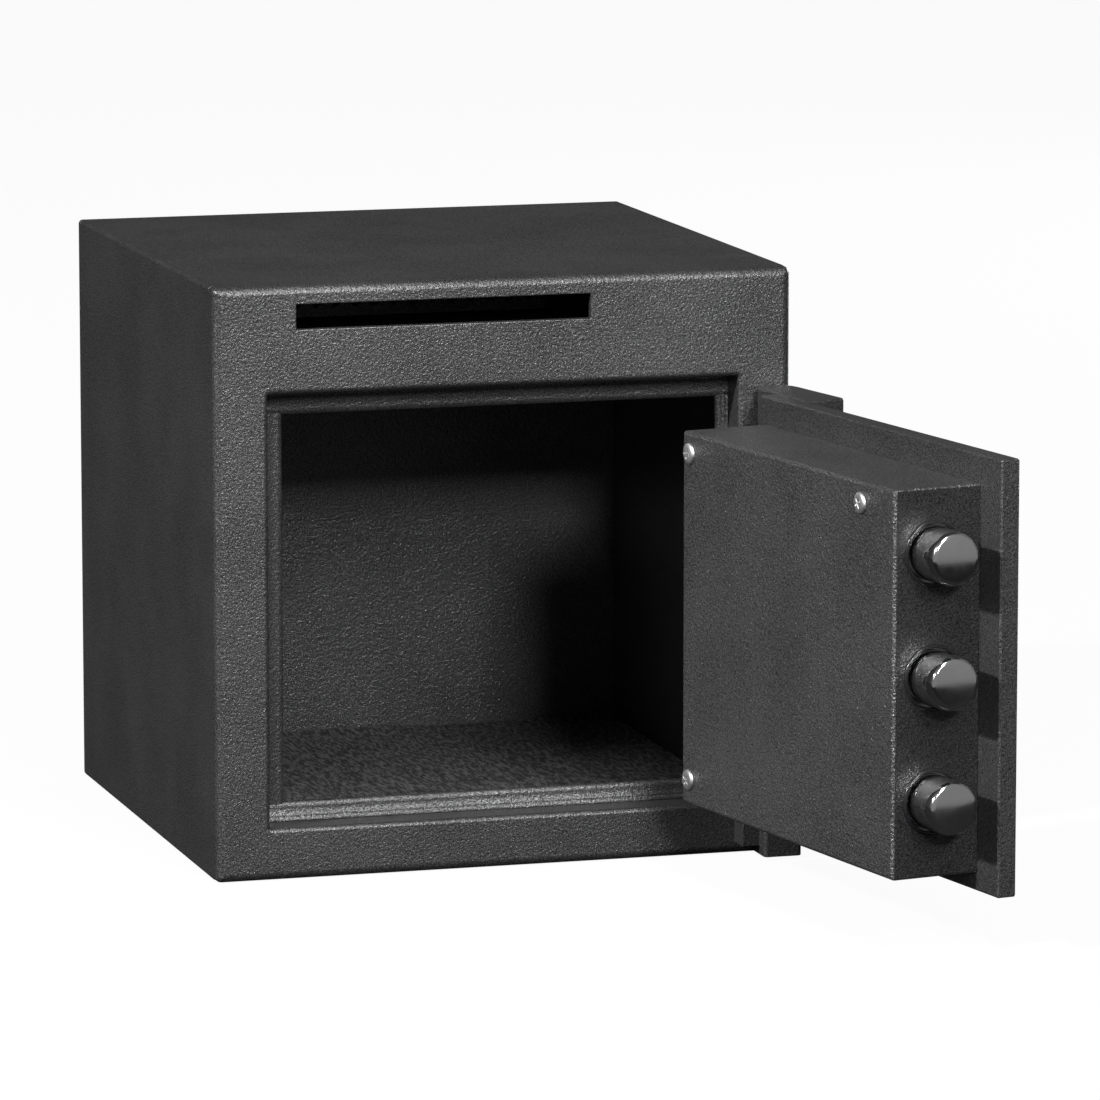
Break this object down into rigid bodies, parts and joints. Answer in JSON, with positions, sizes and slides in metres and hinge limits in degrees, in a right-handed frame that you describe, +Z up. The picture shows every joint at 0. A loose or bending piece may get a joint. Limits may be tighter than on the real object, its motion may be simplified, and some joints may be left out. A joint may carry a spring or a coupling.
{
  "type": "deposit safe",
  "caption": "Front-loading cube deposit safe with a letter slot, a recessed plate door on outside hinges standing open, and round boltwork under a sheet cover",
  "frame": {"origin": "middle of the underside of the body", "axes": "+Z up, +Y towards the back panel, +X towards the hinge side seen from the front"},
  "size_m": [0.4143, 0.6864, 0.3556],
  "materials": {
    "paint": "dark grey hammertone, satin",
    "dark_paint": "dark grey, satin",
    "chrome": "polished",
    "steel": "machined",
    "zinc": "zinc plated",
    "brass": "turned",
    "diecast": "as cast",
    "black": "gloss black",
    "board": "plain board",
    "carpet": "speckled needle felt"
  },
  "bodies": {
    "safe_body": {"body_wrap": "paint", "back_panel": "paint", "front_frame": "paint", "stop_header": "paint", "stop_sill": "paint", "stop_left": "paint", "stop_right": "paint", "chute_tray": "dark_paint", "fish_baffle": "dark_paint", "floor_board": "board", "floor_carpet": "carpet", "hinge_block_upper": "paint", "hinge_block_lower": "paint", "hinge_pin_upper": "steel", "hinge_pin_lower": "steel", "hinge_washer_upper": "brass", "hinge_washer_lower": "brass"},
    "door": {"door_plate": "paint", "hinge_arm_upper": "paint", "hinge_arm_lower": "paint", "lock_cover": "paint", "cover_screw_1": "zinc", "cover_screw_2": "zinc", "cover_screw_3": "zinc", "cover_post_1": "steel", "cover_post_2": "steel", "cover_post_3": "steel", "bolt_guide": "steel", "bar_stud": "steel", "hard_plate": "steel", "lock_body": "diecast", "lock_lid": "diecast", "lock_bolt": "brass", "dial_ring": "chrome", "handle_rose": "chrome"},
    "bolt_work": {"bolt_1": "chrome", "bolt_2": "chrome", "bolt_3": "chrome", "bolt_screw_1": "zinc", "bolt_screw_2": "zinc", "bolt_screw_3": "zinc", "bolt_bar": "steel"},
    "handle": {"handle_lever": "chrome", "handle_spindle": "steel", "crank": "steel"},
    "dial": {"dial_knob": "black", "dial_spindle": "brass"}
  },
  "joints": [
    {"name": "door_swing", "type": "hinge", "parent": "safe_body", "child": "door", "pos_m": [0.166, -0.1908, 0.15], "axis": [0, 0, 1], "range_deg": [-100.2, 29.8]},
    {"name": "bolt_throw", "type": "slide", "parent": "door", "child": "bolt_work", "axis": [-0.1771, 0.9842, 0], "range_m": [0, 0.02401]},
    {"name": "handle_turn", "type": "hinge", "parent": "door", "child": "handle", "pos_m": [0.18968, -0.39585, 0.125], "axis": [-0.9842, -0.1771, 0], "range_deg": [0, 90]},
    {"name": "dial_turn", "type": "hinge", "parent": "door", "child": "dial", "pos_m": [0.1772, -0.32646, 0.2015], "axis": [-0.9842, -0.1771, 0], "continuous": true}
  ],
  "couplings": [
    {"joint": "bolt_throw", "follows": "handle_turn", "m_per_rad": 0.015279}
  ]
}
